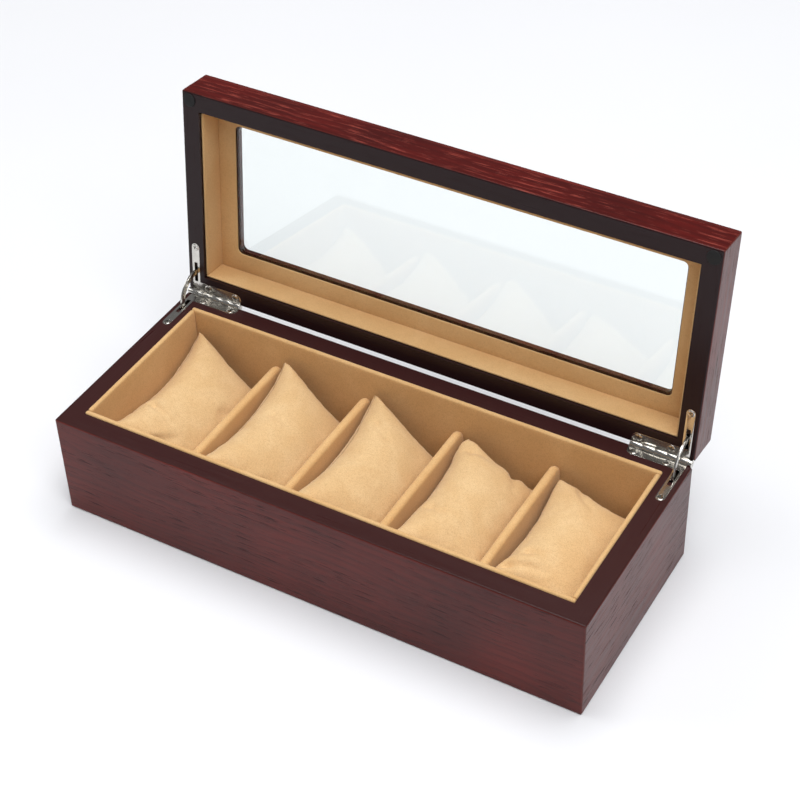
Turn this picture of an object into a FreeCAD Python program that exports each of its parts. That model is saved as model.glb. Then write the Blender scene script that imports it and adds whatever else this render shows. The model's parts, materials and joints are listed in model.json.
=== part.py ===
import FreeCAD, Part
import os
from math import asin, cos, degrees, radians, sin

V = FreeCAD.Vector

# Watch box with its lid open on the stops.  Millimetres, +Z up, +X along the box, front at -Y.
# The origin is the centre of the felt underside.

# Box
length = 315.0
depth = 127.0
base_height = 64.5
base_wall = 11.5
edge_round = 1.0
felt = 0.8
felt_inset = 2.0
bottom_panel = 3.0
rabbet = 5.0

# Lid
lid_height = 23.0
lid_wall = 10.8
top_panel = 3.0
glass = 2.0
retainer = 1.2
window_margin = 23.7
window_corner = 3.4
retainer_reveal = 1.0
glass_play = 0.3
closed_gap = 0.8
open_angle = 96.4

# Linings and dividers
floor_lining = 1.5
wall_lining = 2.8
lining_proud = 1.0
lining_round = 1.1
lid_lining = 1.3
lid_lining_recess = 1.8
divider_thickness = 5.0
divider_drop = 16.0
divider_corner = 6.0
slot_count = 5

# Pillows: top of the raised left edge and of the lowered right edge, for each slot
pillow_tops = [(51.0, 38.0), (52.0, 39.0), (52.0, 39.0), (47.5, 37.0), (45.5, 36.0)]
pillow_play = 0.6
pillow_end_play = 3.0
pillow_round = 7.0
pillow_crown = 3.0
cover = 1.0

# Hinges, measured from the hinge axis
axis_behind = 0.6
leaf = 1.2
leg_width = 5.0
back_leg_width = 6.8
side_leg_reach = 32.5
side_leg_x = 152.3
barrel_ends = (122.0, 157.0)
barrel_radius = 2.3
barrel_clearance = 0.15
pin_radius = 1.0
pin_clearance = 0.05
knuckles = 5
knuckle_gap = 0.2
screw_x = (126.0, 144.5)
screw_head_radius = 2.1
screw_margin = 0.4
screw_shank_radius = 1.0
screw_length = 9.0
driver_slot = (2.6, 0.5, 0.5)

# Quadrant stays
stay_radius = 14.0
stay_width = 3.0
stay_thickness = 1.2
cross_pin_radius = 1.0
cross_pin_length = 4.0
stay_slot = (7.5, 20.0)
stay_slot_width = 2.2
stay_mortise = (4.7, 16.4)
stay_mortise_width = 4.8
stay_mortise_depth = 15.0

# Lid pads
pad_radius = 3.9
pad_thickness = 0.55
pad_inset = 4.9

half_length = length / 2
half_depth = depth / 2
floor_z = felt + bottom_panel
slot_floor_z = floor_z + floor_lining
axis_y = half_depth + axis_behind
axis_z = base_height + closed_gap / 2
mating_z = base_height + closed_gap
inner_x = half_length - base_wall
inner_y = half_depth - base_wall
slot_x = inner_x - wall_lining
slot_y = inner_y - wall_lining
slot_pitch = (2 * slot_x + divider_thickness) / slot_count
divider_top_z = base_height - divider_drop


def block(x, y, z):
    return Part.makeBox(x[1] - x[0], y[1] - y[0], z[1] - z[0], V(x[0], y[0], z[0]))


def span(half):
    return (-half, half)


def mirrored(shape):
    return shape.mirror(V(0, 0, 0), V(1, 0, 0))


def opened(shape):
    """The lid is drawn closed and turned back about the hinge axis."""
    turned = shape.copy()
    turned.rotate(V(0, axis_y, axis_z), V(1, 0, 0), -open_angle)
    return turned


def edges_where(shape, test):
    return [edge for edge in shape.Edges if test(edge.BoundBox)]


def mitred_wall(side, wall, z):
    """One wall of a rectangular frame, cut at 45 degrees at both ends."""
    if side in ("front", "back"):
        out = -1 if side == "front" else 1
        outer = [(-half_length, out * half_depth), (half_length, out * half_depth)]
        inner = [(half_length - wall, out * (half_depth - wall)), (wall - half_length, out * (half_depth - wall))]
    else:
        out = -1 if side == "left" else 1
        outer = [(out * half_length, -half_depth), (out * half_length, half_depth)]
        inner = [(out * (half_length - wall), half_depth - wall), (out * (half_length - wall), wall - half_depth)]
    corners = [V(x, y, z[0]) for x, y in outer + inner]
    face = Part.Face(Part.makePolygon(corners + corners[:1]))
    return face.extrude(V(0, 0, z[1] - z[0]))


def rounded_block(z, round_top, round_bottom):
    """Outer form with its upright corners eased, and its top or bottom rim too."""
    body = block(span(half_length), span(half_depth), z)
    upright = edges_where(body, lambda b: b.ZLength > 1)
    rims = edges_where(body, lambda b: b.ZLength < 0.1
                       and ((round_top and b.ZMin > z[1] - 0.1) or (round_bottom and b.ZMin < z[0] + 0.1)))
    return body.makeFillet(edge_round, upright + rims)


# Hinges, drawn for the right-hand end of the base and mirrored for the rest

def leaf_blank():
    """L-shaped plate let into the rim at a back corner, flush with its top and back.

    The side leg ends in a half circle, and the back leg in a quarter circle that leaves its back edge straight.
    """
    half = leg_width / 2
    z = (base_height - leaf, base_height)
    side_x = (side_leg_x - half, side_leg_x + half)
    tip_y = axis_y - side_leg_reach + half
    back_half = back_leg_width / 2
    back_y = half_depth - back_half
    start_x = barrel_ends[0] + back_half
    plate = block(side_x, (tip_y, half_depth), z)
    plate = plate.fuse(Part.makeCylinder(half, leaf, V(side_leg_x, tip_y, z[0])))
    plate = plate.fuse(block((start_x, side_x[1]), (back_y - back_half, half_depth), z))
    plate = plate.fuse(Part.makeCylinder(back_half, leaf, V(start_x, back_y, z[0])))
    plate = plate.fuse(block((barrel_ends[0], start_x), (back_y, half_depth), z))
    return plate.removeSplitter()


def screw_places():
    """Screw positions on a leaf: two along the back leg, one at the tip of the side leg."""
    back_y = half_depth - back_leg_width + screw_head_radius + screw_margin
    tip_y = axis_y - side_leg_reach + leg_width / 2
    return [(screw_x[0], back_y), (screw_x[1], back_y), (side_leg_x, tip_y)]


def screw_body(x, y):
    """Countersunk screw with its head flush in the leaf."""
    head_height = screw_head_radius - screw_shank_radius
    head = Part.makeCone(screw_head_radius, screw_shank_radius, head_height, V(x, y, base_height), V(0, 0, -1))
    shank = Part.makeCylinder(screw_shank_radius, screw_length - head_height,
                              V(x, y, base_height - head_height), V(0, 0, -1))
    return head.fuse(shank).removeSplitter()


def screw(x, y):
    wide, narrow, deep = driver_slot
    z = (base_height - deep, base_height + 1)
    recess = block((x - wide / 2, x + wide / 2), (y - narrow / 2, y + narrow / 2), z)
    recess = recess.fuse(block((x - narrow / 2, x + narrow / 2), (y - wide / 2, y + wide / 2), z))
    return screw_body(x, y).cut(recess)


def barrel_space(clearance, past_end=0.0):
    """Room for the whole barrel, which the wood and the other leaf stay out of."""
    start, end = barrel_ends[0] - past_end, half_length + 1
    return Part.makeCylinder(barrel_radius + clearance, end - start, V(start, axis_y, axis_z), V(1, 0, 0))


def knuckle(x, bore):
    """One rolled knuckle joined to the leaf by its own strip."""
    ring = Part.makeCylinder(barrel_radius, x[1] - x[0], V(x[0], axis_y, axis_z), V(1, 0, 0))
    strip_x = (x[0], min(x[1], side_leg_x + leg_width / 2))
    strip = block(strip_x, (axis_y - barrel_radius - leaf, axis_y - bore / 2), (base_height - leaf, base_height))
    hole = Part.makeCylinder(bore, x[1] - x[0] + 2, V(x[0] - 1, axis_y, axis_z), V(1, 0, 0))
    return ring.fuse(strip).cut(hole)


def hinge_leaf(knuckle_numbers, bore):
    """Leaf with its knuckles, its screw countersinks and the slot that the stay runs in."""
    pitch = (barrel_ends[1] - barrel_ends[0]) / knuckles
    plate = leaf_blank().cut(barrel_space(barrel_clearance))
    for number in knuckle_numbers:
        start = barrel_ends[0] + number * pitch
        plate = plate.fuse(knuckle((start + knuckle_gap / 2, start + pitch - knuckle_gap / 2), bore))
    for x, y in screw_places():
        plate = plate.cut(screw_body(x, y))
    half = stay_slot_width / 2
    slot = block((side_leg_x - half, side_leg_x + half), (axis_y - stay_slot[1], axis_y - stay_slot[0]),
                 (base_height - 2 * leaf, base_height + leaf))
    return plate.cut(slot).removeSplitter()


def leaf_recess():
    """What a leaf takes out of the wood: its own bed, pilot holes and the pocket for the stay."""
    half = stay_mortise_width / 2
    pocket = block((side_leg_x - half, side_leg_x + half), (axis_y - stay_mortise[1], axis_y - stay_mortise[0]),
                   (base_height - stay_mortise_depth, base_height))
    recess = leaf_blank().fuse(pocket).fuse(barrel_space(2 * barrel_clearance, barrel_clearance))
    for x, y in screw_places():
        recess = recess.fuse(screw_body(x, y))
    return recess


def as_lid(shape):
    """Base hinge part turned into its twin on the closed lid."""
    return shape.mirror(V(0, 0, axis_z), V(0, 0, 1))


def hinge_point(angle, radius):
    """Point about the hinge axis, with the angle counted up from straight ahead."""
    y = axis_y - radius * cos(radians(angle))
    return V(side_leg_x - stay_thickness / 2, y, axis_z + radius * sin(radians(angle)))


def stay():
    """Thin quadrant strip about the hinge axis, with a cross pin near each end."""
    under_leaf = closed_gap / 2 + leaf + cross_pin_radius + 0.15
    pin_angle = degrees(asin(under_leaf / stay_radius))
    past_pin = degrees(1.3 * cross_pin_radius / stay_radius)
    low, middle, high = -pin_angle - past_pin, open_angle / 2, open_angle + pin_angle + past_pin
    outer, inner = stay_radius + stay_width / 2, stay_radius - stay_width / 2
    edges = [
        Part.Arc(hinge_point(low, outer), hinge_point(middle, outer), hinge_point(high, outer)).toShape(),
        Part.LineSegment(hinge_point(high, outer), hinge_point(high, inner)).toShape(),
        Part.Arc(hinge_point(high, inner), hinge_point(middle, inner), hinge_point(low, inner)).toShape(),
        Part.LineSegment(hinge_point(low, inner), hinge_point(low, outer)).toShape(),
    ]
    strip = Part.Face(Part.Wire(edges)).extrude(V(stay_thickness, 0, 0))
    for angle in (-pin_angle, open_angle + pin_angle):
        centre = hinge_point(angle, stay_radius)
        centre.x = side_leg_x - cross_pin_length / 2
        strip = strip.fuse(Part.makeCylinder(cross_pin_radius, cross_pin_length, centre, V(1, 0, 0)))
    return strip.removeSplitter()


# Base

def base_board(side):
    """Mitred wall, rabbeted for the bottom panel and cut for the hinges at its back corners."""
    z = (felt, base_height)
    board = mitred_wall(side, base_wall, z).common(rounded_block(z, True, False))
    recess_x, recess_y = inner_x + rabbet, inner_y + rabbet
    board = board.cut(block(span(recess_x), span(recess_y), (0, floor_z)))
    if side != "front":
        recess = leaf_recess()
        if side in ("right", "back"):
            board = board.cut(recess)
        if side in ("left", "back"):
            board = board.cut(mirrored(recess))
    return board.removeSplitter()


def base_panel():
    return block(span(inner_x + rabbet), span(inner_y + rabbet), (felt, floor_z))


def underside_felt():
    sheet = block(span(half_length - felt_inset), span(half_depth - felt_inset), (0, felt))
    return sheet.makeFillet(3.0, edges_where(sheet, lambda b: b.ZLength > 0.5))


def lining_strip(x, y):
    """Covered board standing on the floor lining, a little proud of the rim, with a soft top edge."""
    top_z = base_height + lining_proud
    strip = block(x, y, (slot_floor_z, top_z))
    along_x = x[1] - x[0] > y[1] - y[0]
    long_top = edges_where(strip, lambda b: b.ZMin > top_z - 0.1 and (b.XLength if along_x else b.YLength) > 10)
    return strip.makeFillet(lining_round, long_top)


def base_linings():
    return {
        "base_lining_floor": block(span(inner_x), span(inner_y), (floor_z, slot_floor_z)),
        "base_lining_front": lining_strip(span(inner_x), (-inner_y, -slot_y)),
        "base_lining_back": lining_strip(span(inner_x), (slot_y, inner_y)),
        "base_lining_left": lining_strip((-inner_x, -slot_x), span(slot_y)),
        "base_lining_right": lining_strip((slot_x, inner_x), span(slot_y)),
    }


def divider(x):
    """Upright partition with rounded top corners and a full round along its top."""
    half = divider_thickness / 2
    wall = block((x - half, x + half), span(slot_y), (slot_floor_z, divider_top_z))
    corners = edges_where(wall, lambda b: b.ZMin > divider_top_z - 0.1 and b.XLength > 1)
    wall = wall.makeFillet(divider_corner, corners)
    ridge = edges_where(wall, lambda b: b.XLength < 0.1 and b.ZMin > divider_top_z - divider_corner - 0.1)
    return wall.makeFillet(half - 0.3, ridge)


# Pillows

def pillow_form(slot, inset):
    """Plump block leaning in its slot: high at its left edge, low at its right, with a crowned top."""
    left_top, right_top = pillow_tops[slot]
    centre = (slot - (slot_count - 1) / 2) * slot_pitch
    half = (slot_pitch - divider_thickness) / 2 - pillow_play - inset
    end = slot_y - pillow_end_play - inset
    low = slot_floor_z + pillow_play + inset
    left, right = left_top - inset, right_top - inset
    crown = V(centre, -end, (left + right) / 2 + pillow_crown)
    corners = [V(centre - half, -end, left), V(centre - half, -end, low),
               V(centre + half, -end, low), V(centre + half, -end, right)]
    outline = [Part.LineSegment(a, b).toShape() for a, b in zip(corners, corners[1:])]
    outline.append(Part.Arc(corners[3], crown, corners[0]).toShape())
    form = Part.Face(Part.Wire(outline)).extrude(V(0, 2 * end, 0))
    along = edges_where(form, lambda b: b.YLength > end)
    form = form.makeFillet(pillow_round - inset, along)
    ends = edges_where(form, lambda b: b.YLength < 0.1)
    return form.makeFillet((pillow_round - inset) * 0.7, ends)


# Lid, drawn closed

def lid_rail(side):
    """Mitred wall of the lid, cut for the hinges at its back corners."""
    z = (mating_z, base_height + closed_gap + lid_height - top_panel)
    rail = mitred_wall(side, lid_wall, z).common(rounded_block(z, False, True))
    if side != "front":
        recess = as_lid(leaf_recess())
        if side in ("right", "back"):
            rail = rail.cut(recess)
        if side in ("left", "back"):
            rail = rail.cut(mirrored(recess))
    return rail.removeSplitter()


def lid_depths(near, far):
    """Heights on the closed lid of two depths counted from its mating face."""
    return (mating_z + near, mating_z + far)


def window(margin, corner, z):
    opening = block(span(half_length - margin), span(half_depth - margin), z)
    return opening.makeFillet(corner, edges_where(opening, lambda b: b.ZLength > 0.5))


def lid_top_panel():
    z = lid_depths(lid_height - top_panel, lid_height)
    panel = rounded_block(z, True, False)
    return panel.cut(window(window_margin, window_corner, (z[0] - 1, z[1] + 1)))


def lid_infill(z):
    """Sheet that fills the lid between its rails."""
    return block(span(half_length - lid_wall - glass_play), span(half_depth - lid_wall - glass_play), z)


def lid_glass():
    return lid_infill(lid_depths(lid_height - top_panel - glass, lid_height - top_panel))


def lid_retainer():
    z = lid_depths(retainer_depth, retainer_depth + retainer)
    reveal = window(window_margin - retainer_reveal, window_corner, (z[0] - 1, z[1] + 1))
    return lid_infill(z).cut(reveal)


retainer_depth = lid_height - top_panel - glass - retainer


def lid_linings():
    """Thin covered strips inside the rails, set back from the mating face."""
    z = lid_depths(lid_lining_recess, retainer_depth)
    x, y = half_length - lid_wall, half_depth - lid_wall
    return {
        "lid_lining_front": block(span(x), (-y, lid_lining - y), z),
        "lid_lining_back": block(span(x), (y - lid_lining, y), z),
        "lid_lining_left": block((-x, lid_lining - x), span(y - lid_lining), z),
        "lid_lining_right": block((x - lid_lining, x), span(y - lid_lining), z),
    }


def lid_pad():
    """Round buffer stuck to a front corner of the mating face."""
    centre = V(half_length - pad_inset, pad_inset - half_depth, mating_z)
    disc = Part.makeCylinder(pad_radius, pad_thickness, centre, V(0, 0, -1))
    rim = edges_where(disc, lambda b: b.ZLength < 0.1 and b.ZMin < mating_z - 0.1)
    return disc.makeFillet(0.3, rim)


def hinge_pin():
    x0, x1 = barrel_ends
    return Part.makeCylinder(pin_radius, x1 - x0, V(x0, axis_y, axis_z), V(1, 0, 0))


def screws():
    return Part.makeCompound([screw(x, y) for x, y in screw_places()])


def pair(shape):
    """A right-hand piece and its mirror image."""
    return {"right": shape, "left": mirrored(shape)}


def all_nodes():
    nodes = {f"base_{side}_board": base_board(side) for side in ("front", "back", "left", "right")}
    nodes["base_bottom_panel"] = base_panel()
    nodes["underside_felt"] = underside_felt()
    nodes.update(base_linings())
    for number in range(1, slot_count):
        nodes[f"divider_{number}"] = divider((number - slot_count / 2) * slot_pitch)
    for slot in range(slot_count):
        outer, inner = pillow_form(slot, 0), pillow_form(slot, cover)
        nodes[f"pillow_{slot + 1}_cover"] = outer.cut(inner)
        nodes[f"pillow_{slot + 1}_filling"] = inner

    lid = {f"lid_{side}_rail": lid_rail(side) for side in ("front", "back", "left", "right")}
    lid["lid_top_panel"] = lid_top_panel()
    lid["lid_glass"] = lid_glass()
    lid["lid_glass_retainer"] = lid_retainer()
    lid.update(lid_linings())
    for side, pad in pair(lid_pad()).items():
        lid[f"lid_pad_{side}"] = pad

    base_leaf = hinge_leaf(range(0, knuckles, 2), pin_radius)
    lid_leaf = as_lid(hinge_leaf(range(1, knuckles, 2), pin_radius + pin_clearance))
    for side in ("left", "right"):
        nodes[f"hinge_{side}_base_leaf"] = pair(base_leaf)[side]
        nodes[f"hinge_{side}_pin"] = pair(hinge_pin())[side]
        nodes[f"hinge_{side}_base_screws"] = pair(screws())[side]
        nodes[f"stay_{side}"] = pair(stay())[side]
        lid[f"hinge_{side}_lid_leaf"] = pair(lid_leaf)[side]
        lid[f"hinge_{side}_lid_screws"] = pair(as_lid(screws()))[side]
    nodes.update({name: opened(shape) for name, shape in lid.items()})
    return nodes


os.makedirs("parts", exist_ok=True)
for name, shape in all_nodes().items():
    shape.exportStep(f"parts/{name}.step")
    print(f"{name:28s} solids {len(shape.Solids)} volume {shape.Volume:9.1f} valid {shape.isValid()}")
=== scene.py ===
import bmesh
import bpy
import json
from math import cos, degrees, pi, radians, sin
from mathutils import Matrix, Vector, noise


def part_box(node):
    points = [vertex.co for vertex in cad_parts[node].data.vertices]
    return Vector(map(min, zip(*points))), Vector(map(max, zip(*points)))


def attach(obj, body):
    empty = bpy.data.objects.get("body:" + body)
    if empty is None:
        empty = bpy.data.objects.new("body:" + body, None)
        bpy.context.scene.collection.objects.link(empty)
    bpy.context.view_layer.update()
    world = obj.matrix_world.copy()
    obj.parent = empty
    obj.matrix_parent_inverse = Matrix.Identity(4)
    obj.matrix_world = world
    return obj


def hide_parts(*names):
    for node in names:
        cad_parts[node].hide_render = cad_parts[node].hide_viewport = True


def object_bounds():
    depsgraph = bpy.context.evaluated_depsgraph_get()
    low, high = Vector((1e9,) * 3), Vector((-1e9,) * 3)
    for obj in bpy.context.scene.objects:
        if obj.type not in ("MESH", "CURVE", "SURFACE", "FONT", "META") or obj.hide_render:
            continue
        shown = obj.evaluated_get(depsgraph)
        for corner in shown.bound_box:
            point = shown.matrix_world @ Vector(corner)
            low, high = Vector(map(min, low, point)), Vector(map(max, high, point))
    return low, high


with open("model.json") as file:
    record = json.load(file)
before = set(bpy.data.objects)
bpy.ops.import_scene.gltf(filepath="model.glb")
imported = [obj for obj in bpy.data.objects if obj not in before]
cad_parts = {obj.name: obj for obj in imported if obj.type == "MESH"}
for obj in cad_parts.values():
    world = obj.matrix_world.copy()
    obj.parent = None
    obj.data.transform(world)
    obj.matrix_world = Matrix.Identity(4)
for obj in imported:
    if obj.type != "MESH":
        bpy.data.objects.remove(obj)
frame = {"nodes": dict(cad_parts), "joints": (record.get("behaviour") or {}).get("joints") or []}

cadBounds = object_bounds()
scene = bpy.context.scene
mm = 0.001


def nodeBox(name):
    low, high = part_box(name)
    return Vector(low), Vector(high)


# sizes and the hinge axis, all read from the frame
boardLow, boardHigh = nodeBox("base_front_board")
halfLength, halfDepth = cadBounds[1][0], -cadBounds[0][1]
baseTop, woodBottom = boardHigh.z, boardLow.z
lidJoint = next(joint for joint in frame["joints"] if joint["name"] == "lid_hinge")
hingeAt = Vector(lidJoint["pos_m"])
openAngle = -radians(lidJoint["range_deg"][0])
matingZ = 2 * hingeAt.z - baseTop   # mating face of the shut lid
toOpen = Matrix.Translation(hingeAt) @ Matrix.Rotation(-openAngle, 4, "X") @ Matrix.Translation(-hingeAt)
toShut = toOpen.inverted()


def shutBox(name):
    # box of a lid node as it lies with the lid shut
    points = [toShut @ v.co for v in frame["nodes"][name].data.vertices]
    return [Vector(pick(p[i] for p in points) for i in range(3)) for pick in (min, max)]


lidTop = shutBox("lid_top_panel")[1].z
print("frame loaded, lid open", round(degrees(openAngle), 1), "degrees, shut height", round(lidTop / mm, 1), "mm")


def linear(hexValue):
    parts = [int(hexValue[i:i + 2], 16) / 255 for i in (1, 3, 5)]
    return tuple(c / 12.92 if c < 0.04045 else ((c + 0.055) / 1.055) ** 2.4 for c in parts) + (1.0,)


def addNode(tree, kind, sockets=None, **settings):
    # sockets: name or number, with a value, a hex colour, or the node or output that feeds it
    node = tree.nodes.new(kind)
    for key, value in settings.items():
        setattr(node, key, value)
    for key, value in (sockets or {}).items():
        target = node.inputs[key]
        if isinstance(value, bpy.types.Node):
            value = next(s for s in value.outputs if s.enabled)
        if isinstance(value, bpy.types.NodeSocket):
            tree.links.new(value, target)
        else:
            target.default_value = linear(value) if isinstance(value, str) and value[0] == "#" else value
    return node


def newMaterial(name, shownAs, **constants):
    # constants are the shader's own sockets, with their spaces left out
    material = bpy.data.materials.new(name)
    material.use_nodes = True
    material.diffuse_color = linear(shownAs)
    tree = material.node_tree
    shader = tree.nodes["Principled BSDF"]
    for socket in shader.inputs:
        value = constants.get(socket.name.replace(" ", ""))
        if value is not None:
            socket.default_value = linear(value) if isinstance(value, str) else value
    return material, tree, shader, addNode(tree, "ShaderNodeTexCoord").outputs["Object"]


def meshObject(name, bm, material, smooth=True):
    mesh = bpy.data.meshes.new(name)
    bmesh.ops.recalc_face_normals(bm, faces=bm.faces)
    bm.to_mesh(mesh)
    bm.free()
    for polygon in mesh.polygons:
        polygon.use_smooth = smooth
    mesh.materials.append(material)
    piece = bpy.data.objects.new(name, mesh)
    scene.collection.objects.link(piece)
    return piece


def applied(piece):
    # the modifiers' result as a plain mesh, with the modifiers gone
    mesh = bpy.data.meshes.new_from_object(piece.evaluated_get(bpy.context.evaluated_depsgraph_get()))
    piece.modifiers.clear()
    piece.data = mesh
    return piece


def fit(piece, body, replaced):
    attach(piece, body)
    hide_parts(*replaced)


def dress(nodeName, material):
    for slot in frame["nodes"][nodeName].material_slots:
        slot.material = material


# Ash veneer on board, stained mahogany and sprayed with satin lacquer that leaves the grain open: bands of short
# pores run along the grain, dark from the front, pale where they catch light from above, and at a low angle the
# lacquer turns grey with the room
veneer = {
    # the edge tone is partly rubbed stain and partly a painted highlight along the eased edges
    "light": "#6c231d", "middle": "#581914", "late": "#3d1210", "pore": "#200a09", "worn": "#6e3329",
    "rim": "#381c1b", "lidRim": "#241214",   # edges that meet when the lid is shut, filled and sprayed darker
    "ring": 5.2,                     # mm from one band of pores to the next
    "arch": (110.0, 24.0), "bend": 5.0,  # mm: length and height of the cathedral arches, and how far they lean
    "dash": (9.0, 0.32),             # mm: a pore's length and width; real ones are 0.2 wide, drawn coarse to show
    "fewerPores": (22, 70), "streak": (14, 330), "cloud": 17.0,   # repeats per metre, along and across
    "roughness": (0.26, 0.40), "coatRoughness": 0.22, "edge": 1.0,
}


def lacqueredVeneer(name, grainAxis, seed, onLid=False, pore=None, poreShare=0.7, tone="#ffffff",
                    inside=(halfLength - 2 * mm, halfDepth - 2 * mm)):
    # inside: half sizes of the opening whose edges are sprayed dark like the rim
    material, tree, shader, coords = newMaterial(
        name, veneer["middle"], IOR=1.5, SpecularIORLevel=0.16, CoatWeight=0.16,
        CoatRoughness=veneer["coatRoughness"], CoatIOR=1.5)
    if onLid:   # back to where the lid lies shut
        coords = addNode(tree, "ShaderNodeMapping", {"Vector": coords, "Rotation": (openAngle, 0, 0),
                                                     "Location": toShut.translation})
    place = addNode(tree, "ShaderNodeSeparateXYZ", {0: coords})
    x, y, z = place.outputs
    along, across = (x, y) if grainAxis == "X" else (y, x)
    sheet = addNode(tree, "ShaderNodeCombineXYZ", {0: along, 1: across, 2: z})
    sheet = addNode(tree, "ShaderNodeMapping", {"Vector": sheet, "Location": (seed * 0.37, 0, seed * 0.023)})

    # growth rings: even bands across the sheet, bent by slow noise into arches
    long, high = veneer["arch"]
    slow = addNode(tree, "ShaderNodeMapping", {"Vector": sheet, "Scale": (1000 / long, 1000 / high, 1000 / high)})
    slow = addNode(tree, "ShaderNodeTexNoise", {"Vector": slow, "Scale": 1.0, "Detail": 1.5, "Roughness": 0.4})
    level = addNode(tree, "ShaderNodeSeparateXYZ", {0: sheet})
    level = addNode(tree, "ShaderNodeMath", {0: level.outputs[1], 1: level.outputs[2]}, operation="ADD")
    rings = addNode(tree, "ShaderNodeMath", {0: slow, 1: veneer["bend"]}, operation="MULTIPLY")
    rings = addNode(tree, "ShaderNodeMath", {0: level, 1: 1000 / veneer["ring"], 2: rings},
                    operation="MULTIPLY_ADD")
    ring = addNode(tree, "ShaderNodeMath", {0: rings}, operation="FRACT")
    early = addNode(tree, "ShaderNodeMapRange", {0: ring, 1: 0.0, 2: 0.10}, interpolation_type="SMOOTHSTEP")
    fade = addNode(tree, "ShaderNodeMapRange", {0: ring, 1: 0.55, 2: 0.2}, interpolation_type="SMOOTHSTEP")
    band = addNode(tree, "ShaderNodeMath", {0: early, 1: fade}, operation="MULTIPLY")
    long, high = veneer["fewerPores"]
    patchy = addNode(tree, "ShaderNodeMapping", {"Vector": sheet, "Scale": (long, high, high)})
    patchy = addNode(tree, "ShaderNodeTexNoise", {"Vector": patchy, "Scale": 1.0, "Detail": 1.0})
    patchy = addNode(tree, "ShaderNodeMapRange", {0: patchy, 1: 0.35, 2: 0.6}, interpolation_type="SMOOTHSTEP")
    band = addNode(tree, "ShaderNodeMath", {0: band, 1: patchy}, operation="MULTIPLY")
    late = addNode(tree, "ShaderNodeMapRange", {0: ring, 1: 0.5, 2: 1.0, 4: 0.4})

    # pores crowd in the bands; stain streaks run everywhere
    long, wide = veneer["dash"]
    fine = addNode(tree, "ShaderNodeMapping", {"Vector": sheet, "Scale": (1000 / long, 1000 / wide, 1000 / wide)})
    fine = addNode(tree, "ShaderNodeTexNoise", {"Vector": fine, "Scale": 0.62, "Detail": 2.0, "Roughness": 0.5})
    pores = addNode(tree, "ShaderNodeMath", {0: band, 1: 0.12, 2: fine}, operation="MULTIPLY_ADD")
    pores = addNode(tree, "ShaderNodeMapRange", {0: pores, 1: 0.62, 2: 0.68}, interpolation_type="SMOOTHSTEP")
    long, wide = veneer["streak"]
    streak = addNode(tree, "ShaderNodeMapping", {"Vector": sheet, "Scale": (long, wide, wide)})
    streak = addNode(tree, "ShaderNodeTexNoise", {"Vector": streak, "Scale": 1.0, "Detail": 3.0, "Roughness": 0.6})
    cloud = addNode(tree, "ShaderNodeTexNoise", {"Vector": sheet, "Scale": veneer["cloud"], "Detail": 1.0})

    tint = addNode(tree, "ShaderNodeMapRange", {0: streak, 1: 0.3, 2: 0.7})
    tint = addNode(tree, "ShaderNodeMix", {0: tint, 6: veneer["middle"], 7: veneer["light"]}, data_type="RGBA")
    darker = addNode(tree, "ShaderNodeMapRange", {0: cloud, 1: 0.35, 2: 0.7, 4: 0.6})
    tint = addNode(tree, "ShaderNodeMix", {0: darker, 6: tint, 7: veneer["late"]}, data_type="RGBA")
    tint = addNode(tree, "ShaderNodeMix", {0: late, 6: tint, 7: veneer["late"]}, data_type="RGBA")
    # pores take the dark stain; a pale pore colour, where given, is a painted highlight from light above
    share = addNode(tree, "ShaderNodeMath", {0: pores, 1: poreShare}, operation="MULTIPLY")
    tint = addNode(tree, "ShaderNodeMix", {0: share, 6: tint, 7: pore or veneer["pore"]}, data_type="RGBA")
    # tone tints the sheet; on the lid's front rail it is painted light: redder, as lit from above
    tint = addNode(tree, "ShaderNodeMix", {0: 1.0, 6: tint, 7: tone}, data_type="RGBA", blend_type="MULTIPLY")

    # eased edges, lighter: part rubbed-thin stain, part a painted highlight on the rounding
    low, high = (matingZ, lidTop) if onLid else (woodBottom, baseTop)
    total, awayFrom = 0.0, []
    for axis, middle, half in ((x, 0, halfLength), (y, 0, halfDepth), (z, (low + high) / 2, (high - low) / 2)):
        away = addNode(tree, "ShaderNodeMath", {0: axis, 1: middle}, operation="SUBTRACT")
        away = addNode(tree, "ShaderNodeMath", {0: away}, operation="ABSOLUTE")
        near = addNode(tree, "ShaderNodeMapRange", {0: away, 1: half - veneer["edge"] * mm, 2: half - 0.1 * mm})
        total = addNode(tree, "ShaderNodeMath", {0: near, 1: total}, operation="ADD")
        awayFrom.append(away)
    edge = addNode(tree, "ShaderNodeMapRange", {0: total, 1: 1.0, 2: 1.7, 4: 0.3})
    tint = addNode(tree, "ShaderNodeMix", {0: edge, 6: tint, 7: veneer["worn"]}, data_type="RGBA")

    # the rim
    away = (matingZ + 0.5 * mm, matingZ + 0.15 * mm) if onLid else (baseTop - 0.5 * mm, baseTop - 0.15 * mm)
    rim = addNode(tree, "ShaderNodeMapRange", {0: z, 1: away[0], 2: away[1]})
    inner = [addNode(tree, "ShaderNodeMapRange", {0: away, 1: limit, 2: limit - 0.3 * mm})
             for away, limit in zip(awayFrom, inside)]
    inner = addNode(tree, "ShaderNodeMath", {0: inner[0], 1: inner[1]}, operation="MULTIPLY")
    rim = addNode(tree, "ShaderNodeMath", {0: rim, 1: inner}, operation="MAXIMUM")
    rimStain = veneer["lidRim" if onLid else "rim"]
    tint = addNode(tree, "ShaderNodeMix", {0: rim, 6: tint, 7: rimStain}, data_type="RGBA")
    tree.links.new(tint.outputs[2], shader.inputs["Base Color"])

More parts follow.
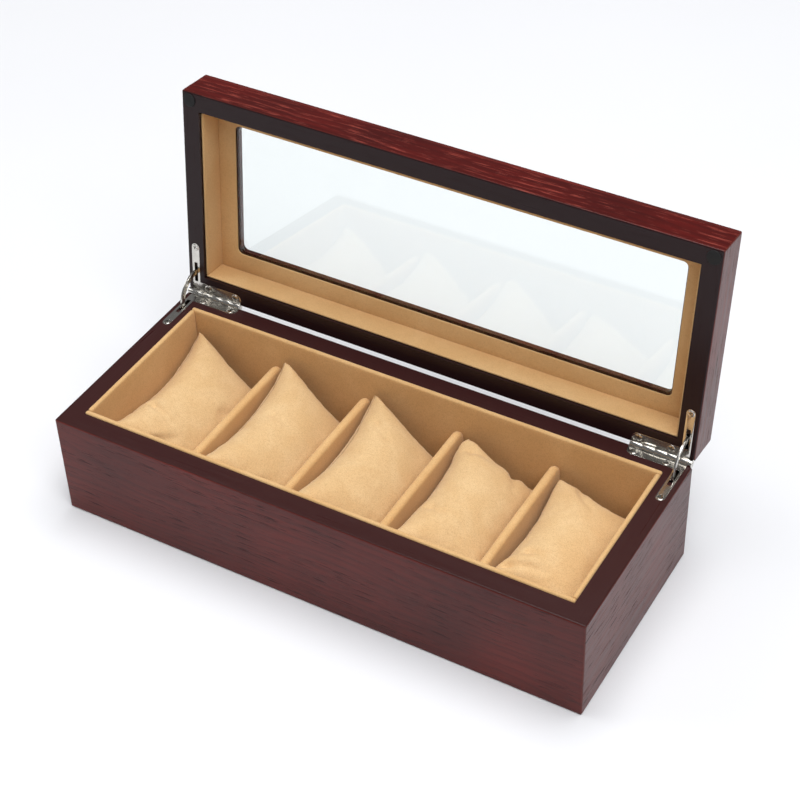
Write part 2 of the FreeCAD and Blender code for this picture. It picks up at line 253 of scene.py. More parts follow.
    low, high = veneer["roughness"]
    rough = addNode(tree, "ShaderNodeMapRange", {0: streak, 1: 0.25, 2: 0.75, 3: low, 4: high})
    rough = addNode(tree, "ShaderNodeMath", {0: pores, 1: 0.25, 2: rough}, operation="MULTIPLY_ADD")
    tree.links.new(rough.outputs[0], shader.inputs["Roughness"])
    bare = addNode(tree, "ShaderNodeMath", {0: rim, 1: -1.0, 2: 1.0}, operation="MULTIPLY_ADD")
    dents = addNode(tree, "ShaderNodeMath", {0: bare, 1: pores}, operation="MULTIPLY")
    relief = addNode(tree, "ShaderNodeBump", {"Height": dents, "Strength": 0.35, "Distance": 0.0001}, invert=True)
    tree.links.new(relief.outputs[0], shader.inputs["Normal"])
    tree.links.new(relief.outputs[0], shader.inputs["Coat Normal"])
    return material


# painted light on the lid's front rail, which faces up: redder, with pores painted pale as highlights
lidFrontPaintedLight = {"pore": "#c48a7c", "poreShare": 0.5, "tone": "#dc9288"}
for number, (side, grainAxis) in enumerate((("front", "X"), ("back", "X"), ("left", "Y"), ("right", "Y"))):
    baseSeed, lidSeed = number + 1.3, number + 7.7
    dress(f"base_{side}_board", lacqueredVeneer(f"lacqueredAshVeneerBase_{side}", grainAxis, baseSeed))
    dress(f"lid_{side}_rail", lacqueredVeneer(f"lacqueredAshVeneerLid_{side}", grainAxis, lidSeed, onLid=True,
                                              **(lidFrontPaintedLight if side == "front" else {})))
windowEdge = 23.9 * mm   # from the lid's side to just inside the panel's cut edge
dress("lid_top_panel", lacqueredVeneer("lacqueredAshVeneerTop", "X", 13.1, onLid=True,
                                       inside=(halfLength - windowEdge, halfDepth - windowEdge)))
print("wood dressed")


# Microfibre suede with a short brushed nap: matt, a soft glow at a low angle, lighter and darker where it was
# stroked one way or the other
suede = {
    "brushedDown": "#efe6d9",   # painted shade: linings, partitions and surround darker than the pillows
    # the seam colour is a painted shade along the sewn seam
    "stroked": "#efcf9f", "plain": "#e4bf8c", "against": "#cda071", "gap": "#a67a4c", "seam": "#8a5f38",
    "fibre": 0.5,   # mm between tufts; real fibres are finer, drawn as coarse as they need to show
    "stroke": (420, 800, 620),   # brush marks per metre along X, Y and Z
}


def microfibreSuede(name, patch, speckle, tone="#ffffff", seam=False):
    material, tree, shader, coords = newMaterial(
        name, suede["plain"], Roughness=0.92, SpecularIORLevel=0.2, SheenWeight=0.3, SheenRoughness=0.45,
        SheenTint="#fff0d8")
    broad = addNode(tree, "ShaderNodeTexNoise", {"Vector": coords, "Scale": 1000 / patch, "Detail": 3.0,
                                                 "Distortion": 0.6})
    stroke = addNode(tree, "ShaderNodeMapping", {"Vector": coords, "Scale": suede["stroke"]})
    stroke = addNode(tree, "ShaderNodeTexNoise", {"Vector": stroke, "Scale": 1.0, "Detail": 3.0, "Roughness": 0.6})
    nap = addNode(tree, "ShaderNodeTexNoise", {"Vector": coords, "Scale": 1000 / suede["fibre"], "Detail": 2.0,
                                               "Roughness": 0.7})
    share = addNode(tree, "ShaderNodeMapRange", {0: broad, 1: 0.3, 2: 0.75, 4: 0.7},
                    interpolation_type="SMOOTHSTEP")
    tint = addNode(tree, "ShaderNodeMix", {0: share, 6: suede["plain"], 7: suede["stroked"]}, data_type="RGBA")
    share = addNode(tree, "ShaderNodeMapRange", {0: stroke, 1: 0.46, 2: 0.78, 4: 0.25 * speckle})
    tint = addNode(tree, "ShaderNodeMix", {0: share, 6: tint, 7: suede["against"]}, data_type="RGBA")
    share = addNode(tree, "ShaderNodeMapRange", {0: nap, 1: 0.46, 2: 0.7, 4: 0.42 * speckle})
    tint = addNode(tree, "ShaderNodeMix", {0: share, 6: tint, 7: suede["gap"]}, data_type="RGBA")
    height = addNode(tree, "ShaderNodeMath", {0: nap, 1: 0.6, 2: stroke}, operation="MULTIPLY_ADD")
    tint = addNode(tree, "ShaderNodeMix", {0: 1.0, 6: tint, 7: tone}, data_type="RGBA", blend_type="MULTIPLY")
    # painted shade: the line where the two panels are sewn is darkened for the shadow in its groove
    if seam:
        line = addNode(tree, "ShaderNodeAttribute", attribute_name="seam")
        line = addNode(tree, "ShaderNodeMapRange", {0: line.outputs["Fac"], 1: 0.80, 2: 0.97, 4: 0.6})
        tint = addNode(tree, "ShaderNodeMix", {0: line, 6: tint, 7: suede["seam"]}, data_type="RGBA")
    tree.links.new(tint.outputs[2], shader.inputs["Base Color"])
    relief = addNode(tree, "ShaderNodeBump", {"Height": height, "Strength": 0.4, "Distance": 0.00018})
    tree.links.new(relief.outputs[0], shader.inputs["Normal"])
    return material


# the linings' darker tone is painted shade for the dimmer light inside the box
liningSuede = microfibreSuede("brushedSuedeLining", 26.0, 0.8, tone=suede["brushedDown"])
pillowSuede = microfibreSuede("brushedSuedePillow", 17.0, 1.0, tone="#f3f2f0", seam=True)

# Bright nickel plate on rolled and stamped steel: nearly a mirror, dulled a little along the rolling lines
plate, tree, shader, coords = newMaterial("nickelPlatedSteel", "#cfccc6", Metallic=1.0)
drawn = addNode(tree, "ShaderNodeMapping", {"Vector": coords, "Scale": (300, 4500, 4500)})
drawn = addNode(tree, "ShaderNodeTexNoise", {"Vector": drawn, "Scale": 1.0, "Detail": 2.0, "Roughness": 0.6})
cloud = addNode(tree, "ShaderNodeTexNoise", {"Vector": coords, "Scale": 260.0, "Detail": 2.0})
tint = addNode(tree, "ShaderNodeMix", {0: cloud, 6: "#e2dfd9", 7: "#bcb8b0"}, data_type="RGBA")
rough = addNode(tree, "ShaderNodeMapRange", {0: drawn, 1: 0.2, 2: 0.8, 3: 0.12, 4: 0.26})
relief = addNode(tree, "ShaderNodeBump", {"Height": drawn, "Strength": 0.1, "Distance": 0.000008})
tree.links.new(tint.outputs[2], shader.inputs["Base Color"])
tree.links.new(rough.outputs[0], shader.inputs["Roughness"])
tree.links.new(relief.outputs[0], shader.inputs["Normal"])

# Float glass: clear, a trace of green, a few wipe marks in the gloss
glass, tree, shader, coords = newMaterial("clearFloatGlass", "#f4f8f6", BaseColor="#f7fcfa",
                                          TransmissionWeight=1.0, IOR=1.5)
smear = addNode(tree, "ShaderNodeMapping", {"Vector": coords, "Scale": (9, 30, 30)})
smear = addNode(tree, "ShaderNodeTexNoise", {"Vector": smear, "Scale": 1.0, "Detail": 2.0})
smear = addNode(tree, "ShaderNodeMapRange", {0: smear, 1: 0.45, 2: 0.9, 4: 0.04})
tree.links.new(smear.outputs[0], shader.inputs["Roughness"])
dress("lid_glass", glass)


def matt(name, dark, light, size, rough, depth, sheen=0.0):
    material, tree, shader, coords = newMaterial(name, dark, Roughness=rough, SheenWeight=sheen)
    grain = addNode(tree, "ShaderNodeTexNoise", {"Vector": coords, "Scale": 1000 / size, "Detail": 3.0,
                                                 "Roughness": 0.65})
    tint = addNode(tree, "ShaderNodeMapRange", {0: grain, 1: 0.3, 2: 0.7})
    tint = addNode(tree, "ShaderNodeMix", {0: tint, 6: dark, 7: light}, data_type="RGBA")
    relief = addNode(tree, "ShaderNodeBump", {"Height": grain, "Strength": 0.4, "Distance": depth})
    tree.links.new(tint.outputs[2], shader.inputs["Base Color"])
    tree.links.new(relief.outputs[0], shader.inputs["Normal"])
    return material


rubber = matt("mouldedRubber", "#060607", "#0e0e10", 0.3, 0.7, 0.00004)           # dull, faintly grained
felt = matt("pressedWoolFelt", "#0e0e10", "#26262a", 1.2, 0.95, 0.0003, sheen=0.3)  # hairy, no gloss at all
fibreboard = matt("sandedFibreboard", "#6b4a2c", "#8a6540", 0.7, 0.8, 0.0001)      # fine brown fibres
dress("base_bottom_panel", fibreboard)
print("materials made")


# Linings: card wrapped in suede, so every edge is soft and the faces swell a little
coveredCard = {"step": 4.0, "swell": 0.10, "ripple": 0.07, "softEdge": 1.15}   # mm


def coverCard(bm, low, high, step=coveredCard["step"]):
    # cuts the card into a grid, then lets the cloth swell and ripple
    size, middle = high - low, (low + high) / 2
    for axis in range(3):
        normal = Vector(float(axis == i) for i in range(3))
        count = int(size[axis] / (step * mm))
        for k in range(1, count):
            point = low + normal * (size[axis] * k / count)
            everything = bm.verts[:] + bm.edges[:] + bm.faces[:]
            bmesh.ops.bisect_plane(bm, geom=everything, plane_co=point, plane_no=normal)
    bm.normal_update()
    for vert in bm.verts:
        inner = sorted(1 - (2 * abs(vert.co[i] - middle[i]) / size[i]) ** 4 for i in range(3))
        swell = coveredCard["swell"] * (max(inner[1], 0) ** 0.5 - 1)
        ripple = coveredCard["ripple"] * (noise.noise(vert.co * 90) + 0.5 * noise.noise(vert.co * 300))
        vert.co += vert.normal * (swell + ripple) * mm


def coveredBoard(name, low, high, ease, material, place=None):
    bm = bmesh.new()
    bmesh.ops.create_cube(bm, size=1.0)
    for vert in bm.verts:
        vert.co = Vector(low[i] if vert.co[i] < 0 else high[i] for i in range(3))
    bmesh.ops.bevel(bm, geom=bm.edges[:], offset=ease, segments=3, profile=0.5, affect="EDGES")
    coverCard(bm, low, high)
    if place:
        bmesh.ops.transform(bm, matrix=place, verts=bm.verts)
    return meshObject(name, bm, material)


for side in ("floor", "front", "back", "left", "right"):
    ease = 0.4 if side == "floor" else coveredCard["softEdge"]
    piece = coveredBoard(f"lining_{side}", *nodeBox(f"base_lining_{side}"), ease * mm, liningSuede)
    fit(piece, "base", [f"base_lining_{side}"])
for side in ("front", "back", "left", "right"):
    piece = coveredBoard(f"lid_edge_lining_{side}", *shutBox(f"lid_lining_{side}"), 0.5 * mm, liningSuede, toOpen)
    fit(piece, "lid", [f"lid_lining_{side}"])
piece = coveredBoard("felt_sheet", *nodeBox("underside_felt"), 0.3 * mm, felt)
fit(piece, "base", ["underside_felt"])
print("linings covered")


# Partitions: one covered card with rounded upper corners, repeated at the slots' pitch
partition = {"upperCorner": 6.0, "edge": 2.3, "ripple": 0.12, "rippleSize": 14.0}   # mm
cardBoxes = [nodeBox(f"divider_{number}") for number in range(1, 5)]
low, high = cardBoxes[0]
centre = (low + high) / 2
bm = bmesh.new()
bmesh.ops.create_cube(bm, size=1.0)
for vert in bm.verts:
    vert.co = Vector((low[i] if vert.co[i] < 0 else high[i]) for i in range(3))
upper = [e for e in bm.edges if all(v.co.z > centre.z for v in e.verts) and
         abs(e.verts[0].co.x - e.verts[1].co.x) > mm]
bmesh.ops.bevel(bm, geom=upper, offset=partition["upperCorner"] * mm, segments=6, profile=0.5, affect="EDGES")
outline = [e for e in bm.edges if any(abs(f.normal.x) > 0.9 for f in e.link_faces)]
bmesh.ops.bevel(bm, geom=outline, offset=partition["edge"] * mm, segments=5, profile=0.5, affect="EDGES")
coverCard(bm, low, high)
card = meshObject("card", bm, liningSuede)

tree = bpy.data.node_groups.new("repeatedPartitions", "GeometryNodeTree")
tree.interface.new_socket("Card", in_out="INPUT", socket_type="NodeSocketGeometry")
inputs = {"Count": ("NodeSocketInt", 4), "Pitch": ("NodeSocketFloat", cardBoxes[1][0].x - low.x),
          "Ripple": ("NodeSocketFloat", partition["ripple"] * mm),
          "Ripple Size": ("NodeSocketFloat", partition["rippleSize"] * mm)}
sockets = {name: tree.interface.new_socket(name, in_out="INPUT", socket_type=kind)
           for name, (kind, value) in inputs.items()}
tree.interface.new_socket("Partitions", in_out="OUTPUT", socket_type="NodeSocketGeometry")
given = addNode(tree, "NodeGroupInput").outputs
offset = addNode(tree, "ShaderNodeCombineXYZ", {0: given["Pitch"]})
line = addNode(tree, "GeometryNodeMeshLine", {"Count": given["Count"], "Offset": offset})
copies = addNode(tree, "GeometryNodeInstanceOnPoints", {"Points": line, "Instance": given["Card"]})
copies = addNode(tree, "GeometryNodeRealizeInstances", {0: copies})
scale = addNode(tree, "ShaderNodeMath", {0: 1.0, 1: given["Ripple Size"]}, operation="DIVIDE")
wave = addNode(tree, "ShaderNodeTexNoise", {"Scale": scale, "Detail": 1.0})
wave = addNode(tree, "ShaderNodeMath", {0: wave, 1: 0.8}, operation="SUBTRACT")
wave = addNode(tree, "ShaderNodeMath", {0: wave, 1: given["Ripple"]}, operation="MULTIPLY")
push = addNode(tree, "ShaderNodeVectorMath", {0: addNode(tree, "GeometryNodeInputNormal"), "Scale": wave},
               operation="SCALE")
copies = addNode(tree, "GeometryNodeSetPosition", {"Geometry": copies, "Offset": push})
copies = addNode(tree, "GeometryNodeSetMaterial", {"Geometry": copies, "Material": liningSuede})
addNode(tree, "NodeGroupOutput", {0: copies})
modifier = card.modifiers.new("partitions", "NODES")
modifier.node_group = tree
for name, (kind, value) in inputs.items():
    modifier[sockets[name].identifier] = value
applied(card)
card.name = "partitions"
for polygon in card.data.polygons:
    polygon.use_smooth = True
fit(card, "base", [f"divider_{number}" for number in range(1, 5)])
print("partitions repeated:", len(card.data.polygons), "faces")


# Stamped metal: the CAD shape with its sharp edges broken
stamped = {"ease": 0.12, "knuckleEnd": 0.45, "segments": 3, "sharpFrom": 35.0}   # mm, mm, number, degrees


def easedCopy(name, nodeName, ease, material, segments=2):
    bm = bmesh.new()
    bm.from_mesh(frame["nodes"][nodeName].data)
    bmesh.ops.remove_doubles(bm, verts=bm.verts, dist=1e-6)
    bmesh.ops.dissolve_limit(bm, angle_limit=radians(1), verts=bm.verts, edges=bm.edges)
    weight = bm.edges.layers.float.new("bevel_weight_edge")
    for edge in bm.edges:
        if len(edge.link_faces) == 2 and edge.calc_face_angle() > radians(stamped["sharpFrom"]):
            edge[weight] = ease / stamped["knuckleEnd"]
            # the round ends of the knuckles lie in planes across the hinge axis, well clear of the pin
            across = any(abs(face.normal.x) > 0.99 for face in edge.link_faces)
            reach = [Vector((0, v.co.y - hingeAt.y, v.co.z - hingeAt.z)).length for v in edge.verts]
            onCircle = min(reach) > 1.5 * mm and abs(reach[0] - reach[1]) < 0.02 * mm
            if name.endswith("leaf") and across and onCircle:
                edge[weight] = 1.0
    piece = meshObject(name, bm, material)
    bevel = piece.modifiers.new("brokenEdges", "BEVEL")
    bevel.width, bevel.segments, bevel.limit_method = stamped["knuckleEnd"] * mm, segments, "WEIGHT"
    bevel.harden_normals = True
    return applied(piece)


for side in ("left", "right"):
    for part, body in (("base_leaf", "base"), ("lid_leaf", "lid"), ("pin", "base")):
        piece = easedCopy(f"{side}_{part}", f"hinge_{side}_{part}", stamped["ease"], plate, stamped["segments"])
        fit(piece, body, [f"hinge_{side}_{part}"])
    piece = easedCopy(f"{side}_stay_arm", f"stay_{side}", stamped["ease"], plate, stamped["segments"])
    fit(piece, f"stay_{side}", [f"stay_{side}"])
    piece = easedCopy(f"{side}_bumper", f"lid_pad_{side}", 0.2, rubber, 3)
    fit(piece, "lid", [f"lid_pad_{side}"])
piece = easedCopy("window_surround", "lid_glass_retainer", 0.4, liningSuede, 3)
fit(piece, "lid", ["lid_glass_retainer"])
print("hinges, stays and bumpers eased")


# Countersunk screws with a cross recess, set by Geometry Nodes, each turned to where it stopped
# mm; the dome is low enough for the heads to clear each other with the lid shut
screw = {"headRadius": 2.05, "dome": 0.34, "coneDepth": 1.2, "shank": 1.0, "cross": (2.5, 0.5, 0.55), "seed": 7}


def screwPlaces(nodeName, onLid):
    # head centres: each screw of the CAD node is one island of its mesh
    bm = bmesh.new()
    bm.from_mesh(frame["nodes"][nodeName].data)
    bmesh.ops.remove_doubles(bm, verts=bm.verts, dist=1e-6)
    if onLid:
        bmesh.ops.transform(bm, matrix=toShut, verts=bm.verts)
    left, places = set(bm.verts), []
    while left:
        island, edge = set(), {left.pop()}
        while edge:
            island |= edge
            edge = {other.other_vert(v) for v in edge for other in v.link_edges} - island
        left -= island
        points = [v.co for v in island]
        x, y = [(min(p[i] for p in points) + max(p[i] for p in points)) / 2 for i in (0, 1)]
        z = min(p.z for p in points) if onLid else max(p.z for p in points)
        places.append(Vector((x, y, z)))
    bm.free()
    return sorted(places, key=lambda p: (round(p.x, 5), round(p.y, 5)))


tree = bpy.data.node_groups.new("crossHeadScrews", "GeometryNodeTree")
tree.interface.new_socket("Places", in_out="INPUT", socket_type="NodeSocketGeometry")
sockets = {name: tree.interface.new_socket(name, in_out="INPUT", socket_type=kind) for name, kind in (
    ("Head Radius", "NodeSocketFloat"), ("Dome", "NodeSocketFloat"), ("Cone Depth", "NodeSocketFloat"),
    ("Shank", "NodeSocketFloat"), ("Cross Length", "NodeSocketFloat"), ("Cross Width", "NodeSocketFloat"),
    ("Cross Depth", "NodeSocketFloat"), ("Seed", "NodeSocketInt"))}
tree.interface.new_socket("Screws", in_out="OUTPUT", socket_type="NodeSocketGeometry")
given = addNode(tree, "NodeGroupInput").outputs
ball = addNode(tree, "GeometryNodeMeshUVSphere", {"Segments": 28, "Rings": 16, "Radius": 1.0})
size = addNode(tree, "ShaderNodeCombineXYZ", {0: given["Head Radius"], 1: given["Head Radius"], 2: given["Dome"]})
dome = addNode(tree, "GeometryNodeTransform", {"Geometry": ball.outputs[0], "Scale": size})
cone = addNode(tree, "GeometryNodeMeshCone", {"Vertices": 28, "Radius Top": given["Head Radius"],
                                              "Radius Bottom": given["Shank"], "Depth": given["Cone Depth"]})
down = addNode(tree, "ShaderNodeMath", {0: given["Cone Depth"], 1: -1.0}, operation="MULTIPLY")
down = addNode(tree, "ShaderNodeCombineXYZ", {2: down})
cone = addNode(tree, "GeometryNodeTransform", {"Geometry": cone.outputs[0], "Translation": down})
head = addNode(tree, "GeometryNodeMeshBoolean", {"Mesh 2": dome}, operation="UNION")
tree.links.new(cone.outputs[0], head.inputs["Mesh 2"])
deep = addNode(tree, "ShaderNodeMath", {0: given["Cross Depth"], 1: 2.0}, operation="MULTIPLY")
cuts = []
for order in ((given["Cross Length"], given["Cross Width"]), (given["Cross Width"], given["Cross Length"])):
    size = addNode(tree, "ShaderNodeCombineXYZ", {0: order[0], 1: order[1], 2: deep})
    bar = addNode(tree, "GeometryNodeMeshCube", {"Size": size})
    cuts.append(addNode(tree, "GeometryNodeTransform", {"Geometry": bar.outputs[0]}))
up = addNode(tree, "ShaderNodeCombineXYZ", {2: given["Dome"]})
recessed = addNode(tree, "GeometryNodeMeshBoolean", {"Mesh 1": head}, operation="DIFFERENCE")
for cut in cuts:
    tree.links.new(up.outputs[0], cut.inputs["Translation"])
    tree.links.new(cut.outputs[0], recessed.inputs["Mesh 2"])
facing = addNode(tree, "GeometryNodeInputNamedAttribute", {"Name": "facing"}, data_type="FLOAT_VECTOR")
aim = addNode(tree, "FunctionNodeAlignRotationToVector", {"Vector": facing}, axis="Z")
turn = addNode(tree, "FunctionNodeRandomValue", {"Seed": given["Seed"]}, data_type="FLOAT")
turn.inputs[3].default_value = pi / 2
turn = addNode(tree, "FunctionNodeAxisAngleToRotation", {"Axis": (0, 0, 1), "Angle": turn})
aim = addNode(tree, "FunctionNodeRotateRotation", {"Rotation": aim, "Rotate By": turn}, rotation_space="LOCAL")
copies = addNode(tree, "GeometryNodeInstanceOnPoints", {"Points": given["Places"], "Instance": recessed,
                                                        "Rotation": aim})
copies = addNode(tree, "GeometryNodeRealizeInstances", {0: copies})
copies = addNode(tree, "GeometryNodeSetMaterial", {"Geometry": copies, "Material": plate})
addNode(tree, "NodeGroupOutput", {0: copies})
for body in ("base", "lid"):
    nodesOfBody = [f"hinge_{side}_{body}_screws" for side in ("left", "right")]
    places = [p for name in nodesOfBody for p in screwPlaces(name, body == "lid")]
    facing = Vector((0, 0, 1))
    if body == "lid":
        places = [toOpen @ p for p in places]
        facing = toOpen.to_3x3() @ Vector((0, 0, -1))
    mesh = bpy.data.meshes.new(f"{body}_screws")
    mesh.from_pydata(places, [], [])
    mesh.attributes.new("facing", "FLOAT_VECTOR", "POINT").data.foreach_set("vector", [*facing] * len(places))
    piece = bpy.data.objects.new(f"{body}_screws", mesh)
    scene.collection.objects.link(piece)
    modifier = piece.modifiers.new("screws", "NODES")
    modifier.node_group = tree
    values = (screw["headRadius"], screw["dome"], screw["coneDepth"], screw["shank"], *screw["cross"])
    for socket, value in zip(list(sockets.values())[:-1], values):
        modifier[socket.identifier] = value * mm
    modifier[sockets["Seed"].identifier] = screw["seed"]
    applied(piece)
    fit(piece, body, nodesOfBody)
    print(len(places), "screws in the", body, "with", len(piece.data.polygons), "faces")


# Pillows: two cut panels sewn together, stuffed, tucked into the slot and left to settle against its walls.
# The cloth is worked out ten times larger, where Blender's solver keeps thin cloth steady, and then shrunk back.
pillow = {
    "panel": (80.0, 110.0), "waist": (0.12, 0.07),         # mm as cut, and how far its sides curve in
    "half": (34.0, 49.5), "pinch": 7.0, "height": 19.5,    # mm, the loose shape that goes into the slot
    "tilt": (38.0, 41.0, 38.0, 20.0, 14.0), "middle": (28.8, 29.2, 28.8, 22.0, 20.6),   # left edge up; mm
    "grid": (28, 38), "pressure": 9.0, "frames": 30, "gap": 0.35,
    # folds in the upper panel of each pillow: from and to as shares of the panel (-1 to 1), then depth, width in mm
    "creases": (
        ((-0.80, -0.42, -0.35, -0.52, 4.0, 2.2),
         (-0.35, -0.96, -0.05, -0.62, 3.5, 3.0),
         (0.30, 0.10, 0.85, 0.35, 1.6, 4.5)),
        ((-0.10, -0.98, 0.05, -0.68, 4.0, 3.0),
         (0.25, -0.98, 0.32, -0.70, 3.2, 2.6),
         (-0.75, 0.10, -0.30, 0.05, 2.0, 3.2)),
        ((-0.80, 0.55, -0.45, 0.35, 2.6, 2.8),
         (0.10, -0.95, 0.20, -0.60, 2.6, 3.0),
         (-0.70, -0.40, -0.20, -0.50, 1.6, 4.0)),
        ((-0.75, 0.70, -0.25, 0.78, 3.5, 3.5),
         (0.15, 0.88, 0.22, 0.55, 2.4, 3.2),
         (-0.80, -0.30, -0.35, -0.40, 2.6, 3.0)),
        ((-0.75, -0.66, -0.15, -0.60, 4.5, 2.4),
         (-0.60, -0.42, -0.15, -0.38, 2.6, 2.6),
         (-0.40, 0.80, -0.10, 0.50, 2.2, 3.2))),
}
tenfold = 10.0
lowLining, highLining = nodeBox("base_lining_left"), nodeBox("base_lining_right")
slotEnds = [lowLining[1].x] + [edge for low, high in cardBoxes for edge in (low.x, high.x)] + [highLining[0].x]
slotFront, slotBack = nodeBox("base_lining_front")[1].y, nodeBox("base_lining_back")[0].y
slotFloor = nodeBox("base_lining_floor")[1].z


def slotWall(low, high):
    bm = bmesh.new()
    bmesh.ops.create_cube(bm, size=1.0)
    for vert in bm.verts:
        vert.co = Vector((low[i] if vert.co[i] < 0 else high[i]) for i in range(3)) * tenfold
    wall = meshObject("wall", bm, liningSuede, smooth=False)
    wall.modifiers.new("collision", "COLLISION")
    wall.collision.thickness_outer = 0.006
    wall.collision.cloth_friction = 20
    return wall


def foldDepth(u, v, crease):
    # mm that a crease sinks the panel at u, v: deepest at its start, with a raised lip along both sides
    fromU, fromV, toU, toV, depth, width = crease
    panel = Vector(pillow["panel"]) / 2
    at, start, end = [Vector(point) * panel for point in ((u, v), (fromU, fromV), (toU, toV))]
    run = end - start
    share = min(max((at - start).dot(run) / run.length_squared, 0), 1)
    aside = at - start - run * share
    aside.x += 1.5 * sin(5 * share)   # no crease is quite straight
    near = aside.length / width
    return depth * (1.2 - share) * (2 ** -near ** 2 - 0.5 * 2 ** -(near / 2.2) ** 2)


def sewnPillow(name, number):
    left, right = slotEnds[2 * number] + pillow["gap"] * mm, slotEnds[2 * number + 1] - pillow["gap"] * mm
    middle = (left + right) / 2
    countU, countV = pillow["grid"]
    halfU, halfV = pillow["half"]
    tilt = radians(pillow["tilt"][number])
    bm = bmesh.new()
    seam, panelU, panelV = [bm.verts.layers.float.new(layer) for layer in ("seam", "panelU", "panelV")]
    verts, flat = {}, []
    for side in (1, -1):
        for i in range(countU + 1):
            for j in range(countV + 1):
                onSeam = i in (0, countU) or j in (0, countV)
                if onSeam and side == -1:
                    verts[side, i, j] = verts[1, i, j]
                    continue
                u, v = 2 * i / countU - 1, 2 * j / countV - 1
                x = (halfU - pillow["pinch"] * (1 - v * v)) * u
                y = (halfV - 0.8 * pillow["pinch"] * (1 - u * u)) * v
                h = side * pillow["height"] * max((1 - u * u) * (1 - v * v), 0) ** 0.42
                z = pillow["middle"][number] - x * sin(tilt) + h * cos(tilt)
                vert = bm.verts.new(Vector((x * cos(tilt) + h * sin(tilt), y, z)) * mm * tenfold)
                vert[seam], vert[panelU], vert[panelV] = float(onSeam), u, v if side == 1 else 9.0
                verts[side, i, j] = vert
                (cutU, cutV), (inU, inV) = pillow["panel"], pillow["waist"]
                flat.append(Vector((u * cutU / 2 * (1 - inU * (1 - v * v)), v * cutV / 2 * (1 - inV * (1 - u * u)),
                                    0 if onSeam else 0.5 * side)) * mm * tenfold)
        for i in range(countU):
            for j in range(countV):
                corners = [verts[side, *at] for at in ((i, j), (i + 1, j), (i + 1, j + 1), (i, j + 1))]
                bm.faces.new(corners[::side])
    piece = meshObject(name, bm, pillowSuede)
    piece.shape_key_add(name="sewn")
    cut = piece.shape_key_add(name="cut")
    for index, point in enumerate(flat):
        cut.data[index].co = point
    cut.value = 0
    half, thick, top = (right - left) / 2, 12 * mm, 75 * mm
    below = slotFloor - thick
    walls = [slotWall(*ends) for ends in (
        ((-half - thick, slotFront - thick, below), (-half, slotBack + thick, top)),
        ((half, slotFront - thick, below), (half + thick, slotBack + thick, top)),
        ((-half - thick, slotFront - thick, below), (half + thick, slotFront, top)),
        ((-half - thick, slotBack, below), (half + thick, slotBack + thick, top)),
        ((-half - thick, slotFront - thick, below), (half + thick, slotBack + thick, slotFloor)))]
    modifier = piece.modifiers.new("cloth", "CLOTH")
    cloth = modifier.settings
    cloth.rest_shape_key = cut
    cloth.quality, cloth.mass = 7, 0.01
    cloth.tension_stiffness = cloth.compression_stiffness = 15
    cloth.shear_stiffness, cloth.bending_stiffness = 7.5, 0.8
    cloth.tension_damping = cloth.compression_damping = cloth.shear_damping = 15
    cloth.bending_damping, cloth.air_damping = 1, 6
    cloth.use_pressure, cloth.uniform_pressure_force = True, pillow["pressure"]
    cloth.effector_weights.gravity = 0
    modifier.collision_settings.distance_min, modifier.collision_settings.collision_quality = 0.006, 4
    scene.frame_end = modifier.point_cache.frame_end = pillow["frames"] + 1
    for frameNumber in range(1, pillow["frames"] + 1):
        scene.frame_set(frameNumber)
    mesh = bpy.data.meshes.new_from_object(piece.evaluated_get(bpy.context.evaluated_depsgraph_get()))
    piece.modifiers.clear()
    piece.shape_key_clear()
    piece.data = mesh
    for wall in walls:
        bpy.data.objects.remove(wall)
    scene.frame_set(1)
    piece.data.transform(Matrix.Translation((middle, 0, 0)) @ Matrix.Scale(1 / tenfold, 4))
    finer = piece.modifiers.new("finer", "SUBSURF")
    finer.levels = finer.render_levels = 1
    applied(piece)
    # the seam draws in and puckers, and the upper panel folds
    mesh = piece.data
    normals = [v.normal.copy() for v in mesh.vertices]
    marks, us, vs = [mesh.attributes[layer].data for layer in ("seam", "panelU", "panelV")]
    for vert, normal, mark, u, v in zip(mesh.vertices, normals, marks, us, vs):
        pucker = 0.45 * noise.noise(vert.co * 260) + 0.2 * noise.noise(vert.co * 520)
        push = mark.value * (pucker - 0.45) + 0.3 * noise.noise(vert.co * 70) + 0.15 * noise.noise(vert.co * 160)
        for crease in pillow["creases"][number]:
            push -= foldDepth(u.value, v.value, crease)
        vert.co += normal * mm * push
    for polygon in mesh.polygons:
        polygon.use_smooth = True
    return piece


for number in range(5):
    piece = sewnPillow(f"pillow_{number + 1}", number)
    body = f"pillow_{number + 1}"
    fit(piece, body, [f"{body}_cover", f"{body}_filling"])
    top = max(v.co.z for v in piece.data.vertices)
    print(f"pillow {number + 1} settled, top at {top / mm:.1f} mm")


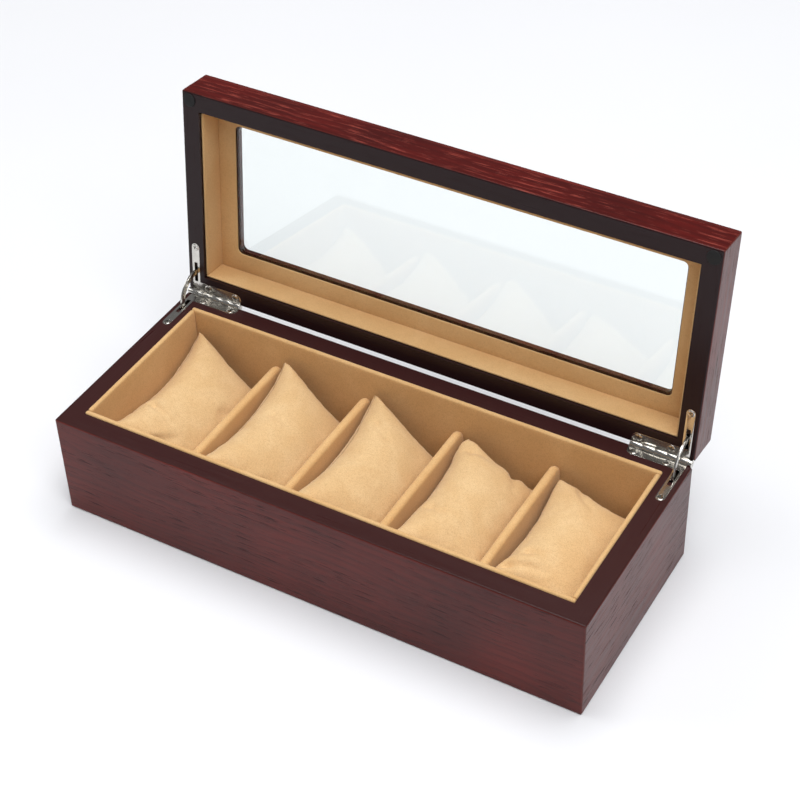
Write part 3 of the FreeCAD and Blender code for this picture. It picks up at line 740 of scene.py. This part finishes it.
# Plain pale studio: a white floor, large soft lights from the front right, overhead and the left, a dim room
studio = {
    "floor": "#ecedf0", "room": "#f2f3f6", "roomStrength": 0.2,
    "key": ((1.1, -0.9, 2.3), 1.5, 27.0), "top": ((0.1, 0.25, 2.4), 1.6, 48.0),   # metres, size, watts
    "side": ((-2.2, -0.6, 1.5), 1.4, 12.0),
}
bpy.ops.mesh.primitive_plane_add(size=8, location=(0, 0, cadBounds[0][2]))
floor = bpy.context.object
floor.name = "studioFloor"
material, tree, shader, coords = newMaterial("paintedBoard", studio["floor"], Roughness=0.7, SpecularIORLevel=0.2)
mottle = addNode(tree, "ShaderNodeTexNoise", {"Vector": coords, "Scale": 6.0})
mottle = addNode(tree, "ShaderNodeMix", {0: mottle, 6: studio["floor"], 7: "#e9eaed"}, data_type="RGBA")
tree.links.new(mottle.outputs[2], shader.inputs["Base Color"])
floor.data.materials.append(material)
world = bpy.data.worlds.new("room")
scene.world = world
world.use_nodes = True
world.node_tree.nodes["Background"].inputs[0].default_value = linear(studio["room"])
world.node_tree.nodes["Background"].inputs[1].default_value = studio["roomStrength"]
for name in ("key", "top", "side"):
    place, size, watts = studio[name]
    light = bpy.data.lights.new(name, "AREA")
    light.energy, light.size, light.shape = watts, size, "SQUARE"
    lamp = bpy.data.objects.new(name, light)
    scene.collection.objects.link(lamp)
    lamp.location = place
    lamp.rotation_euler = (Vector((0, 0, 0.05)) - lamp.location).to_track_quat("-Z", "Y").to_euler()

# Camera: degrees and mm
view = {"azimuth": 31.145, "elevation": 40.983, "roll": -2.057, "from": (402.72, -631.60, 743.56), "lens": 86.49}
turned = Matrix.Rotation(radians(view["azimuth"]), 4, "Z")
turned @= Matrix.Rotation(radians(90 - view["elevation"]), 4, "X")
turned @= Matrix.Rotation(radians(view["roll"]), 4, "Z")
camera = bpy.data.objects.new("camera", bpy.data.cameras.new("camera"))
scene.collection.objects.link(camera)
camera.data.lens, camera.data.sensor_width = view["lens"], 36
camera.matrix_world = Matrix.Translation(Vector(view["from"]) * mm) @ turned
scene.camera = camera
scene.view_settings.view_transform = "Standard"
print("studio and camera set")
